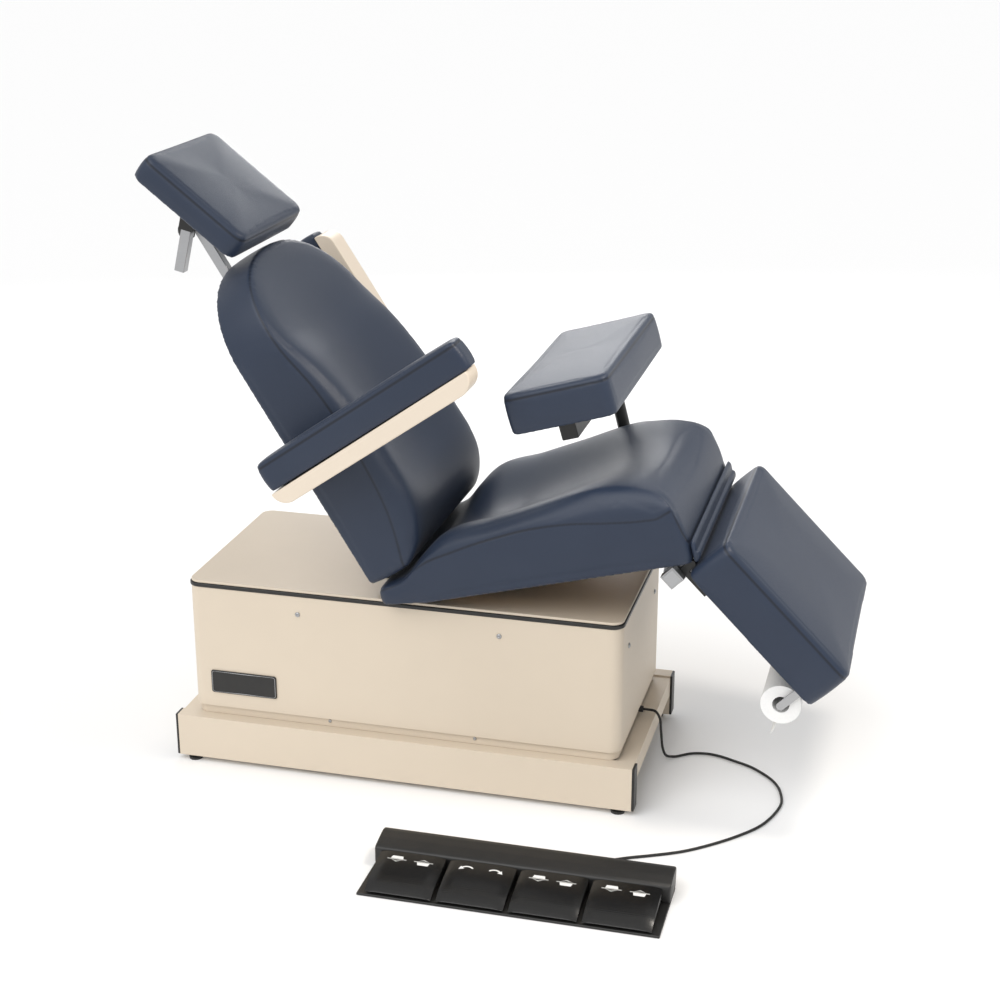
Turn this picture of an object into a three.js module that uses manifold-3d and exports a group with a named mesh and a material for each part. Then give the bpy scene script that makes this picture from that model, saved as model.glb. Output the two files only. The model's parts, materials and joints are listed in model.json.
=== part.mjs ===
// A powered exam chair, in millimetres with +Z up: a lifting cabinet on a rail base, a tilting seat,
// a reclining back, a leg rest, two arms, an armboard, a headrest and a four-pedal foot control.
// +X is the foot end, -Y the side with the foot control.
import * as THREE from 'three';
import { mergeVertices } from 'three/addons/utils/BufferGeometryUtils.js';
import Module from 'manifold-3d';

const wasm = await Module();
wasm.setup();

// ---- driving dimensions ----
const GAP = 0.3; // between pieces that touch
const CUSHION_WIDTH = 606; // seat, back and leg cushions

const RAIL = { length: 1162, out: 282.5, thick: 37, bottom: 13.6, top: 124, cap: 6 };
const CROSS = { inner: 505, outer: 575, bottom: 70, top: 120 };
const FOOT = { x: 540, y: 265, pad: 17, stem: 6 };
const FLOOR_PLATE = { x: 498, bottom: 100, top: 118 };
const INNER_SHROUD = { x: 533, y: 250, wall: 3, top: 440 };
const SHROUD = { x: 539, y: 256, wall: 3, radius: 30, bottom: 146.4, top: 463 };
const GASKET = { x: 541, y: 258, top: 472.7 };
const TOP_PLATE = { x: 538, y: 255, top: 480 };
const COLUMN = { outer: 80, mid: 74, inner: 68, wall: 5, outerTop: 400, midBottom: 125, midTop: 430, innerBottom: 130 }; // half widths
const NAMEPLATE = { x0: -489, x1: -318, z0: 185, z1: 245, thick: 3 };
const GLAND = { y: 20, z: 134, radius: 8, end: 545 };

const TILT = { x: 250, z: 508, shaft: 12.5, blockY: 80 };
const SEAT_ANGLE = 14.6;
const SEAT = { rear: 93, front: 847, bottom: 464, boardBottom: 449 };
const SEAT_FRAME = { rear: 320, front: 760, y: 150, width: 30, bottom: 424 };

const BACK_ANGLE = 31.7;
const BACK = { rear: 232, bottom: 480, top: 1280, domeStart: 1044, domeSquareness: 2.25 };
const BACK_HINGE = { x: -62, z: 506, pin: 8, y: 150 };
const HEAD_BAR = { x: 195, size: 25, bottom: 900, top: 1434 };
const RECEIVER = { bottom: 860, top: 1060, wall: 4 };
const HEAD_POST_Y = -28;
const HEAD_POST_ANGLE = 13.4; // from vertical, leaning toward the foot end
const HEAD_POST_LOW = { x: -612, z: 1190 };
const HEAD_HINGE = { x: -573, z: 1352, eye: 12, pin: 4 };
// places along the bar, and along the post from its hinge
const CLAMP = { t: 1415, down: -41 };
const HEAD_ANGLE = -38.2;
const HEAD = { a0: -1407, a1: -1101, bottom: 737, top: 802, width: 402 };

const ARM_PIVOT = { x: -150, z: 832 };
const ARM = { rear: -107, front: 465, padTop: 86, split: 14, shellBottom: -28, shellFront: 453, inner: 345, outer: 420 };
const ARM_ANGLES = { near: 34.8, far: 122.8 };
const YOKE = { inner: 306.5, thick: 6, halfWidth: 28, rear: 184, barFront: 196.7 };

const BOARD_ANGLE = 16.2;
const ARMBOARD = { p0: 520, p1: 772, bottom: 800, top: 895, y0: -272, y1: 338 };
const BEAM = { p: 624, width: 40, height: 58, y0: -170, y1: 336 };
const POST = { u: 603, y: 322, radius: 16, bottom: 358, top: 757 };
const SOCKET = { radius: 23, bottom: 380, top: 460 };

const LEG_HINGE = { x: 695, z: 650, eye: 9, pin: 5 };
const CROSS_TUBE = { x: 656, z: 622, size: 38, y: 271.7 };
const LEG_ANGLE = -45.2;
const LEG = { a0: 42, a1: 448, bottom: 935, top: 1054 };
const LEG_RAIL = { a0: 82, a1: 400, depth: 14, y0: 212, y1: 240 };
const LEG_LUG = { inner: 264, outer: 271.7 };
const ROLL = { u: 20, n: 42, radius: 9, y: 280 };
const PAPER = { a: 419, n: 860.6, radius: 47, bore: 20, y: 228.6, arm: 5, rod: 8 };

const PEDALS = 4;
const CONTROL = { x0: 58, x1: 730, y0: -771, y1: -570, plate: 6, hoodFront: -640, hoodTop: 52 };
const PEDAL = { pitch: 162, width: 144, bottom: 11, lip: 15, rear: 40, front: -767, back: -643 };

const CABLE = { radius: 3.25, sides: 10, steps: 76 };
const CABLE_ROUTE = [
  [545.5, 20, 134], [556, 20, 134], [576, 17, 133], [588, 14, 118], [593, 13, 80],
  [598, 16, 34], [606, 22, 12], [624, 34, 4.6], [665, 64, 3.6],
  [700, 72, 3.6], [732, 68, 3.6], [776, 50, 3.6], [816, 31, 3.6], [850, 4, 3.6], [877, -25, 3.6],
  [895, -56, 3.6], [905, -86, 3.6], [912, -133, 3.6], [902, -190, 3.6], [876, -255, 3.6], [833, -312, 3.6],
  [776, -369, 3.6], [719, -414, 3.6], [658, -447, 3.6], [600, -475, 3.6], [550, -505, 3.6],
  [520, -530, 4], [516, -556, 10], [515, -569.4, 12],
];

// half lengths along Y of the shafts and of the hinge's gear motor, and the plates that carry them
const SHAFT_REACH = { tilt: 145, hinge: 158, motor: 90, motorRadius: 22 };
const HINGE_ARM = { inner: 96, outer: 119.5, clear: 2 };
const TILT_LUG = { inner: 127, outer: 140 };
const LEG_BRACKET = { inner: 255.3, outer: 263.7, radius: 26, tube: 257 };
const SEAT_BOARD = { rear: 230, front: 740, y: 235 };
const CONTROL_BOX = { x0: 200, x1: 420, y: 110, height: 90 };
const BORE_GAP = 0.5; // a turning shaft in its bore
const THROUGH = 300; // half length of a cutting bar

// ---- looks ----
const LOOKS = {
  paint: [0xe9d8bf, 0.45, 0.0],
  vinyl: [0x38445a, 0.5, 0.0],
  black: [0x1b1a19, 0.45, 0.0],
  steel: [0x8f9092, 0.35, 0.8],
  dark_steel: [0x34353a, 0.5, 0.6],
  board: [0x8a6a45, 0.8, 0.0],
  paper: [0xf4f3ef, 0.9, 0.0],
};

// ---- shape helpers ----
const radians = THREE.MathUtils.degToRad;

/** A box between two values on each axis. */
function box(x0, x1, y0, y1, z0, z1) {
  const geometry = new THREE.BoxGeometry(x1 - x0, y1 - y0, z1 - z0);
  return geometry.translate((x0 + x1) / 2, (y0 + y1) / 2, (z0 + z1) / 2);
}

/** A rectangle with round corners, as a Shape. */
function roundedShape(x0, x1, y0, y1, r) {
  const s = new THREE.Shape();
  s.moveTo(x0 + r, y0);
  s.lineTo(x1 - r, y0);
  s.absarc(x1 - r, y0 + r, r, -Math.PI / 2, 0);
  s.lineTo(x1, y1 - r);
  s.absarc(x1 - r, y1 - r, r, 0, Math.PI / 2);
  s.lineTo(x0 + r, y1);
  s.absarc(x0 + r, y1 - r, r, Math.PI / 2, Math.PI);
  s.lineTo(x0, y0 + r);
  s.absarc(x0 + r, y0 + r, r, Math.PI, 1.5 * Math.PI);
  return s;
}

/** A flat outline in X and Y raised from z0 to z1. */
function raised(shape, z0, z1, curveSegments = 6) {
  const geometry = new THREE.ExtrudeGeometry(shape, { depth: z1 - z0, bevelEnabled: false, curveSegments });
  return geometry.translate(0, 0, z0);
}

/** An outline drawn in X and Z, drawn out along Y from y0 to y1. */
function across(shape, y0, y1, curveSegments = 6) {
  const geometry = new THREE.ExtrudeGeometry(shape, { depth: y1 - y0, bevelEnabled: false, curveSegments });
  return geometry.rotateX(Math.PI / 2).translate(0, y1, 0);
}

/** A round bar along Y. */
function barY(radius, y0, y1, x, z, sides = 24) {
  return new THREE.CylinderGeometry(radius, radius, y1 - y0, sides).translate(x, (y0 + y1) / 2, z);
}

/** A round bar along Z. */
function barZ(radius, z0, z1, x, y, sides = 24) {
  const geometry = new THREE.CylinderGeometry(radius, radius, z1 - z0, sides).rotateX(Math.PI / 2);
  return geometry.translate(x, y, (z0 + z1) / 2);
}

/** A straight-sided plate outline round two circles, in the plane of the outline. */
function linkShape(x0, y0, r0, x1, y1, r1) {
  const along = Math.atan2(y1 - y0, x1 - x0);
  const spread = Math.acos((r0 - r1) / Math.hypot(x1 - x0, y1 - y0));
  const s = new THREE.Shape();
  s.absarc(x0, y0, r0, along + spread, along - spread + 2 * Math.PI);
  s.absarc(x1, y1, r1, along - spread, along + spread);
  return s;
}

/** A geometry as a manifold solid. */
function solid(geometry) {
  const bare = geometry.clone();
  bare.deleteAttribute('normal');
  bare.deleteAttribute('uv');
  const merged = mergeVertices(bare, 1e-3);
  const vertProperties = new Float32Array(merged.attributes.position.array);
  const triVerts = new Uint32Array(merged.index.array);
  return new wasm.Manifold(new wasm.Mesh({ numProp: 3, vertProperties, triVerts }));
}

/** A manifold solid as a geometry. */
function geometryOf(manifold) {
  const mesh = manifold.getMesh();
  const geometry = new THREE.BufferGeometry();
  geometry.setAttribute('position', new THREE.BufferAttribute(new Float32Array(mesh.vertProperties), 3));
  geometry.setIndex(new THREE.BufferAttribute(new Uint32Array(mesh.triVerts), 1));
  geometry.computeVertexNormals();
  return geometry;
}

/** Geometries joined into one. */
function join(...parts) {
  return geometryOf(parts.map(solid).reduce((whole, next) => whole.add(next)));
}

/** A geometry with others cut out of it. */
function cut(body, ...tools) {
  return geometryOf(tools.map(solid).reduce((whole, next) => whole.subtract(next), solid(body)));
}

/** A named mesh with its own material, put into a group. */
function piece(group, name, geometry, look) {
  const [color, roughness, metalness] = LOOKS[look];
  const mesh = new THREE.Mesh(geometry, new THREE.MeshStandardMaterial({ color, roughness, metalness }));
  mesh.name = name;
  group.add(mesh);
  return mesh;
}

/** A group turned in the XZ plane, so that its own X leans up by an angle in degrees. */
function leaning(parent, angle) {
  const group = new THREE.Group();
  group.rotation.y = -radians(angle);
  parent.add(group);
  return group;
}

/** A world point of the XZ plane in the axes of a group that leans by an angle in degrees. */
function inLean(angle, x, z) {
  const c = Math.cos(radians(angle));
  const s = Math.sin(radians(angle));
  return [c * x + s * z, -s * x + c * z];
}

/** An outline drawn in Y and Z, drawn out along X from x0 to x1. */
function forward(shape, x0, x1, curveSegments = 12) {
  const geometry = new THREE.ExtrudeGeometry(shape, { depth: x1 - x0, bevelEnabled: false, curveSegments });
  const turn = new THREE.Matrix4();
  turn.makeBasis(new THREE.Vector3(0, 1, 0), new THREE.Vector3(0, 0, 1), new THREE.Vector3(1, 0, 0));
  return geometry.applyMatrix4(turn).translate(x0, 0, 0);
}

// ---- base: everything that stays on the floor ----
function addBase(group) {
  const half = RAIL.length / 2;
  const wall = half - RAIL.cap - GAP;
  const inside = RAIL.out - RAIL.thick + 2;
  const welded = [box(-FLOOR_PLATE.x, FLOOR_PLATE.x, -inside, inside, FLOOR_PLATE.bottom, FLOOR_PLATE.top)];
  for (const [side, sign] of [['near', -1], ['far', 1]]) {
    const y0 = Math.min(sign * RAIL.out, sign * (RAIL.out - RAIL.thick));
    const y1 = y0 + RAIL.thick;
    const x0 = Math.min(sign * (CROSS.inner - 10), sign * CROSS.outer);
    const x1 = x0 + CROSS.outer - CROSS.inner + 10;
    welded.push(box(-wall, wall, y0, y1, RAIL.bottom, RAIL.top));
    welded.push(box(x0, x1, -inside, inside, CROSS.bottom, CROSS.top));
    for (const [end, x0] of [['head', -half], ['foot', half - RAIL.cap]]) {
      const cap = box(x0, x0 + RAIL.cap, y0, y1, RAIL.bottom, RAIL.top);
      piece(group, `rail_cap_${side}_${end}`, cap, 'black');
    }
  }
  piece(group, 'base_frame', join(...welded), 'paint');
  for (const [x, y, name] of [[-1, -1, 'near_head'], [1, -1, 'near_foot'], [-1, 1, 'far_head'], [1, 1, 'far_foot']]) {
    const profile = [[0, 0], [FOOT.pad, 0], [FOOT.pad, 6], [FOOT.stem, 8.5], [FOOT.stem, RAIL.bottom - GAP]];
    profile.push([0, RAIL.bottom - GAP]);
    const pad = new THREE.LatheGeometry(profile.map(([r, z]) => new THREE.Vector2(r, z)), 20);
    const foot = pad.rotateX(Math.PI / 2).translate(x * FOOT.x, y * FOOT.y, 0);
    piece(group, `levelling_foot_${name}`, foot, 'black');
  }
  const s = INNER_SHROUD;
  const band = cut(
    raised(roundedShape(-s.x, s.x, -s.y, s.y, 27), RAIL.top + GAP, s.top),
    raised(roundedShape(-s.x + s.wall, s.x - s.wall, -s.y + s.wall, s.y - s.wall, 24), 0, 600),
  );
  piece(group, 'inner_shroud', band, 'paint');
  piece(group, 'column_outer', tube(COLUMN.outer, FLOOR_PLATE.top + GAP, COLUMN.outerTop), 'dark_steel');
  piece(group, 'control_box', controlBox(CROSS.top + GAP), 'black');
  const gland = barZ(GLAND.radius, s.x + GAP, GLAND.end, 0, 0, 16).rotateY(Math.PI / 2);
  piece(group, 'cable_gland', gland.translate(0, GLAND.y, GLAND.z), 'black');
}

/** The block that holds the controls, standing on the base inside the cabinet. */
function controlBox(bottom) {
  const c = CONTROL_BOX;
  return box(c.x0, c.x1, -c.y, c.y, bottom, bottom + c.height);
}

/** One square upright tube of the lift column. */
function tube(half, z0, z1) {
  const bore = half - COLUMN.wall;
  return cut(box(-half, half, -half, half, z0, z1), box(-bore, bore, -bore, bore, z0 - 5, z1 + 5));
}

/** The middle stage of the lift column. */
function addColumnMiddle(group) {
  piece(group, 'column_middle', tube(COLUMN.mid, COLUMN.midBottom, COLUMN.midTop), 'steel');
}

// ---- foot control ----
function addFootControl(group) {
  const c = CONTROL;
  piece(group, 'foot_control_plate', box(c.x0, c.x1, c.y0, c.y1, 0, c.plate), 'black');
  const hood = new THREE.Shape();
  hood.moveTo(c.hoodFront, c.plate + GAP);
  hood.lineTo(c.y1, c.plate + GAP);
  hood.lineTo(c.y1, c.hoodTop - 14);
  hood.absarc(c.y1 - 14, c.hoodTop - 14, 14, 0, Math.PI / 2);
  hood.lineTo(c.hoodFront + 12, c.hoodTop);
  hood.absarc(c.hoodFront + 12, c.hoodTop - 12, 12, Math.PI / 2, Math.PI);
  piece(group, 'foot_control_hood', forward(hood, c.x0, c.x1, 4), 'black');
}

/** One rocking pedal: a wedge that thins to its front lip. */
function addPedal(group, index) {
  const p = PEDAL;
  const middle = (CONTROL.x0 + CONTROL.x1) / 2 + (index - (PEDALS - 1) / 2) * p.pitch;
  const side = new THREE.Shape();
  side.moveTo(p.front, p.bottom);
  side.lineTo(p.back, p.bottom);
  side.lineTo(p.back, p.rear);
  side.quadraticCurveTo(p.front + 40, p.lip + 10, p.front, p.lip);
  piece(group, `pedal_${index + 1}`, forward(side, middle - p.width / 2, middle + p.width / 2, 6), 'black');
}

/** The cable from the base to the foot control, lying on the floor. */
function addCable(group) {
  const points = CABLE_ROUTE.map((p) => new THREE.Vector3(...p));
  const path = new THREE.CatmullRomCurve3(points, false, 'centripetal');
  const section = new THREE.Shape();
  for (let i = 0; i < CABLE.sides; i += 1) {
    const angle = (2 * Math.PI * i) / CABLE.sides;
    const x = CABLE.radius * Math.cos(angle);
    const y = CABLE.radius * Math.sin(angle);
    if (i === 0) section.moveTo(x, y);
    else section.lineTo(x, y);
  }
  const options = { steps: CABLE.steps, bevelEnabled: false, extrudePath: path };
  piece(group, 'cable', new THREE.ExtrudeGeometry(section, options), 'black');
}

// ---- lift: what rises on the columns ----
function addLift(group) {
  const s = SHROUD;
  const inner = roundedShape(-s.x + s.wall, s.x - s.wall, -s.y + s.wall, s.y - s.wall, s.radius - s.wall);
  const shroud = cut(
    raised(roundedShape(-s.x, s.x, -s.y, s.y, s.radius), s.bottom, s.top),
    raised(inner, s.bottom - 10, s.top + 10),
  );
  piece(group, 'outer_shroud', shroud, 'paint');
  const seal = roundedShape(-GASKET.x, GASKET.x, -GASKET.y, GASKET.y, 30);
  piece(group, 'top_gasket', raised(seal, s.top + GAP, GASKET.top), 'black');
  const top = roundedShape(-TOP_PLATE.x, TOP_PLATE.x, -TOP_PLATE.y, TOP_PLATE.y, 28);
  piece(group, 'top_plate', raised(top, GASKET.top + GAP, TOP_PLATE.top), 'paint');
  const n = NAMEPLATE;
  const plate = roundedShape(n.x0, n.x1, n.z0, n.z1, 6);
  piece(group, 'nameplate_blank', across(plate, -s.y - GAP - n.thick, -s.y - GAP), 'black');
  piece(group, 'column_inner', tube(COLUMN.inner, COLUMN.innerBottom, s.top), 'steel');
  for (const [side, y] of [['near', -TILT.blockY], ['far', TILT.blockY]]) {
    piece(group, `tilt_bearing_${side}`, shaftHousing(y - 12, y + 12), 'dark_steel');
  }
}

/** A round-topped housing round the tilt shaft, standing on the top plate. */
function shaftHousing(y0, y1) {
  const radius = 18;
  const body = new THREE.Shape();
  body.moveTo(TILT.x - radius, TOP_PLATE.top + GAP);
  body.lineTo(TILT.x + radius, TOP_PLATE.top + GAP);
  body.absarc(TILT.x, TILT.z, radius, 0, Math.PI);
  return cut(across(body, y0, y1), barY(TILT.shaft + BORE_GAP, y0 - 5, y1 + 5, TILT.x, TILT.z));
}

// ---- seat: what tilts ----
function addSeat(group) {
  const reach = SHAFT_REACH;
  piece(group, 'tilt_shaft', barY(TILT.shaft, -reach.tilt, reach.tilt, TILT.x, TILT.z), 'steel');
  const pin = barY(BACK_HINGE.pin, -reach.hinge, reach.hinge, BACK_HINGE.x, BACK_HINGE.z);
  piece(group, 'back_hinge_pin', pin, 'steel');
  const motor = barY(reach.motorRadius, -reach.motor, reach.motor, BACK_HINGE.x, BACK_HINGE.z);
  const motorBore = barY(BACK_HINGE.pin + BORE_GAP, -THROUGH, THROUGH, BACK_HINGE.x, BACK_HINGE.z);
  piece(group, 'back_gearmotor', cut(motor, motorBore), 'black');
  const plates = [];
  const diagonal = CROSS_TUBE.size / Math.SQRT2;
  const lozenge = new THREE.Shape();
  lozenge.moveTo(CROSS_TUBE.x + diagonal, CROSS_TUBE.z);
  lozenge.lineTo(CROSS_TUBE.x, CROSS_TUBE.z + diagonal);
  lozenge.lineTo(CROSS_TUBE.x - diagonal, CROSS_TUBE.z);
  lozenge.lineTo(CROSS_TUBE.x, CROSS_TUBE.z - diagonal);

  const frame = leaning(group, SEAT_ANGLE);
  const [shaftU, shaftN] = inLean(SEAT_ANGLE, TILT.x, TILT.z);
  const [hingeU, hingeN] = inLean(SEAT_ANGLE, BACK_HINGE.x, BACK_HINGE.z);
  const [tubeU, tubeN] = inLean(SEAT_ANGLE, CROSS_TUBE.x, CROSS_TUBE.z);
  const [legU, legN] = inLean(SEAT_ANGLE, LEG_HINGE.x, LEG_HINGE.z);
  const f = SEAT_FRAME;
  const low = f.bottom;
  const high = SEAT.boardBottom - GAP;
  const barU = f.rear + 25;
  const barN = (low + high) / 2;
  const arms = [];
  const holes = [];
  const voids = [];
  for (const sign of [-1, 1]) {
    const y0 = Math.min(sign * HINGE_ARM.inner, sign * HINGE_ARM.outer);
    const y1 = y0 + HINGE_ARM.outer - HINGE_ARM.inner;
    arms.push(across(linkShape(hingeU, hingeN, 16, barU, barN, 12), y0, y1));
    voids.push(across(linkShape(hingeU, hingeN, 18, barU, barN, 14), y0 - HINGE_ARM.clear, y1 + HINGE_ARM.clear));
    const lug = Math.min(sign * TILT_LUG.inner, sign * TILT_LUG.outer);
    const lugShape = linkShape(shaftU, shaftN, 19.5, barU, barN, 11);
    arms.push(across(lugShape, lug, lug + TILT_LUG.outer - TILT_LUG.inner));
    arms.push(box(f.rear, f.front, sign * f.y - f.width / 2, sign * f.y + f.width / 2, low, high));
  }
  holes.push(barY(BACK_HINGE.pin + BORE_GAP, -THROUGH, THROUGH, hingeU, hingeN));
  holes.push(barY(TILT.shaft + BORE_GAP, -THROUGH, THROUGH, shaftU, shaftN));
  const bars = [box(f.rear + 8, f.rear + 28, -f.y, f.y, low, high), box(700, 730, -f.y, f.y, low, high)];
  piece(frame, 'seat_frame', cut(join(...bars, ...arms), ...holes), 'dark_steel');
  const bracket = LEG_BRACKET;
  for (const y0 of [-bracket.outer, bracket.inner]) {
    const outline = linkShape(tubeU, tubeN, bracket.radius, legU, legN, LEG_HINGE.eye);
    plates.push(across(outline, y0, y0 + bracket.outer - bracket.inner).rotateY(-radians(SEAT_ANGLE)));
  }
  const legBore = barY(LEG_HINGE.pin + GAP, -THROUGH, THROUGH, LEG_HINGE.x, LEG_HINGE.z);
  piece(group, 'leg_cross_tube', cut(join(across(lozenge, -bracket.tube, bracket.tube), ...plates), legBore), 'steel');
  const wood = SEAT_BOARD;
  const seatBoard = box(wood.rear, wood.front, -wood.y, wood.y, SEAT.boardBottom, SEAT.bottom - GAP);
  piece(frame, 'seat_board', cut(seatBoard, ...voids), 'board');
  piece(frame, 'seat_cushion', cut(seatCushion(), ...voids), 'vinyl');
  piece(frame, 'bridging_roll', barY(ROLL.radius, -ROLL.y, ROLL.y, legU + ROLL.u, legN + ROLL.n), 'vinyl');
  const arm = box(POST.u - 13, POST.u + 13, f.y + f.width / 2 + GAP, 305, low, high);
  const ring = barN2(SOCKET.radius, SOCKET.bottom, SOCKET.top);
  piece(frame, 'armboard_socket', cut(join(arm, ring), barN2(POST.radius + 0.5, 300, 500)), 'black');
}

/** A round bar standing on the seat at the armboard post. */
function barN2(radius, n0, n1) {
  return barZ(radius, n0, n1, POST.u, POST.y, 28);
}

/** The seat cushion: low behind, rising to a crest near the knees. */
function seatCushion() {
  const half = CUSHION_WIDTH / 2;
  const b = SEAT.bottom;
  const side = new THREE.Shape();
  side.moveTo(SEAT.rear + 8, b + 12);
  side.lineTo(190, b);
  side.lineTo(SEAT.front - 8, b);
  side.lineTo(SEAT.front, b + 12);
  side.lineTo(SEAT.front, b + 113);
  side.splineThru([
    [834, 146], [800, 166], [760, 184], [700, 196], [650, 200], [520, 180], [405, 164], [260, 146], [213, 124],
    [172, 72], [SEAT.rear, 54],
  ].map(([u, rise]) => new THREE.Vector2(u, b + rise)));
  return across(side, -half, half, 22);
}

// ---- leg rest ----
function addLegRest(group) {
  const frame = leaning(group, LEG_ANGLE);
  const [hingeA, hingeN] = inLean(LEG_ANGLE, LEG_HINGE.x, LEG_HINGE.z);
  const top = LEG.bottom - GAP;
  const low = top - LEG_RAIL.depth;
  const bar = LEG_RAIL.a0 + 22;
  const parts = [box(LEG_RAIL.a0, bar, -LEG_LUG.outer, LEG_LUG.outer, low, top)];
  parts.push(box(340, 365, -LEG_RAIL.y1, LEG_RAIL.y1, low, top));
  for (const sign of [-1, 1]) {
    const rail = Math.min(sign * LEG_RAIL.y0, sign * LEG_RAIL.y1);
    parts.push(box(LEG_RAIL.a0, LEG_RAIL.a1, rail, rail + LEG_RAIL.y1 - LEG_RAIL.y0, low, top));
    const lug = Math.min(sign * LEG_LUG.inner, sign * LEG_LUG.outer);
    parts.push(barY(LEG_HINGE.eye, lug, lug + 7.7, hingeA, hingeN));
    parts.push(box(hingeA - LEG_HINGE.eye, hingeA + LEG_HINGE.eye, lug, lug + 7.7, low, hingeN));
    parts.push(box(hingeA - LEG_HINGE.eye, bar, lug, lug + 7.7, low, top));
  }
  for (const y0 of [-270, 254]) parts.push(barY(LEG_HINGE.pin, y0, y0 + 16, hingeA, hingeN));
  piece(frame, 'leg_frame', join(...parts), 'black');
  const half = CUSHION_WIDTH / 2;
  const pad = raised(roundedShape(LEG.a0, LEG.a1, -half, half, 18), LEG.bottom, LEG.top, 4);
  piece(frame, 'leg_cushion', pad, 'vinyl');
  const p = PAPER;
  const holder = [barY(p.rod, -p.y - 6, p.y + 6, p.a, p.n, 16)];
  for (const y0 of [-p.y - 4.4 - p.arm, p.y + 4.4]) {
    const strap = linkShape(p.a, LEG.bottom - 10.5, 10, p.a, p.n, 9.9);
    holder.push(across(strap, y0, y0 + p.arm));
  }
  piece(frame, 'paper_holder', join(...holder), 'steel');
}

/** The paper roll, free to turn on its rod. */
function addPaperRoll(group) {
  const frame = leaning(group, LEG_ANGLE);
  const p = PAPER;
  const roll = cut(barY(p.radius, -p.y, p.y, p.a, p.n, 36), barY(p.bore, -p.y - 5, p.y + 5, p.a, p.n, 20));
  piece(frame, 'paper_roll', roll, 'paper');
}

// ---- armboard ----
function addArmboardPost(group) {
  const frame = leaning(group, SEAT_ANGLE);
  piece(frame, 'armboard_post', barN2(POST.radius, POST.bottom, POST.top), 'black');
}

function addArmboard(group) {
  const frame = leaning(group, BOARD_ANGLE);
  const b = ARMBOARD;
  const beamTop = b.bottom - GAP;
  const beam = box(BEAM.p - BEAM.width / 2, BEAM.p + BEAM.width / 2, BEAM.y0, BEAM.y1, beamTop - BEAM.height, beamTop);
  piece(frame, 'armboard_beam', beam, 'black');
  const pad = raised(roundedShape(b.p0, b.p1, b.y0, b.y1, 25), b.bottom, b.top, 4);
  piece(frame, 'armboard_pad', pad, 'vinyl');
}

/** A ribbed hand knob with its stem, drawn along +Z from the face it screws into. */
function knob(radius, height) {
  const stem = 5;
  const profile = [[0, 0], [stem, 0], [stem, 9], [radius - 4, 9], [radius, 13], [radius, height - 5]];
  profile.push([radius - 5, height], [0, height]);
  return new THREE.LatheGeometry(profile.map(([r, z]) => new THREE.Vector2(r, z)), 24).rotateX(Math.PI / 2);
}

function addArmboardKnob(group) {
  const frame = leaning(group, SEAT_ANGLE);
  const turned = knob(19, 30).rotateX(-Math.PI / 2);
  const face = POST.y + SOCKET.radius + GAP;
  piece(frame, 'armboard_knob', turned.translate(POST.u, face, SOCKET.bottom + 30), 'black');
}

// ---- back rest ----
function addBack(group) {
  const frame = leaning(group, BACK_ANGLE);
  const b = BACK;
  const [hingeX, hingeT] = inLean(BACK_ANGLE, BACK_HINGE.x, BACK_HINGE.z);
  const boardRear = b.rear - 12 - GAP;
  const [railRear, railFront] = [YOKE.barFront + GAP, boardRear - GAP];
  const parts = [box(railRear, railFront, -150, 150, 500, 530), box(railRear, railFront, -150, 150, 700, 730)];
  parts.push(box(railRear, railFront, -150, 150, 960, 990));
  for (const sign of [-1, 1]) {
    const y0 = Math.min(sign * 121, sign * 150);
    parts.push(box(railRear, railFront, y0, y0 + 29, hingeT, 1010), barY(16, y0, y0 + 29, hingeX, hingeT));
  }
  const pinHole = barY(BACK_HINGE.pin + 0.5, -200, 200, hingeX, hingeT);
  const [pocketFront, pocketHalf] = [HEAD_BAR.x + 17.5 + GAP, 17.5 + GAP];
  const pocket = box(150, pocketFront, -pocketHalf, pocketHalf, RECEIVER.bottom - 5, RECEIVER.top + 5);
  piece(frame, 'back_frame', cut(join(...parts), pinHole, pocket), 'dark_steel');
  const outline = backOutline(CUSHION_WIDTH / 2 - 70, b.bottom + 10, b.top - 60);
  piece(frame, 'back_board', forward(outline, boardRear, b.rear - GAP, 20), 'board');
  piece(frame, 'back_cushion', backCushion(), 'vinyl');
  const r = RECEIVER;
  const sleeve = box(HEAD_BAR.x - 17.5, HEAD_BAR.x + 17.5, -17.5, 17.5, r.bottom, r.top);
  const bore = box(HEAD_BAR.x - 13, HEAD_BAR.x + 13, -13, 13, r.bottom - 5, r.top + 5);
  piece(frame, 'head_receiver', cut(sleeve, bore), 'dark_steel');
  const [pivotX, pivotT] = inLean(BACK_ANGLE, ARM_PIVOT.x, ARM_PIVOT.z);
  const y = YOKE;
  const outer = y.inner + y.thick;
  const sides = [box(y.rear, y.barFront, -outer, outer, pivotT - y.halfWidth, pivotT + y.halfWidth)];
  for (const y0 of [-outer, y.inner]) {
    sides.push(box(y.rear, pivotX, y0, y0 + y.thick, pivotT - y.halfWidth, pivotT + y.halfWidth));
    sides.push(barY(y.halfWidth, y0, y0 + y.thick, pivotX, pivotT));
  }
  sides.push(barY(26, -ARM.inner + GAP, -outer + 2, pivotX, pivotT));
  sides.push(barY(26, outer - 2, ARM.inner - GAP, pivotX, pivotT));
  piece(frame, 'arm_yoke', join(...sides), 'black');
}

/** The back's outline seen from the front: straight sides under half an ellipse. */
function backOutline(half, bottom, top) {
  const shape = new THREE.Shape();
  shape.moveTo(-half, bottom);
  shape.lineTo(half, bottom);
  // the round top is a superellipse: |y / half|^n + |rise / height|^n = 1
  const power = 2 / BACK.domeSquareness;
  for (let i = 0; i <= 48; i += 1) {
    const turn = (Math.PI * i) / 48;
    const side = Math.sign(Math.cos(turn)) * Math.abs(Math.cos(turn)) ** power;
    shape.lineTo(half * side, BACK.domeStart + (top - BACK.domeStart) * Math.sin(turn) ** power);
  }
  return shape;
}

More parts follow.
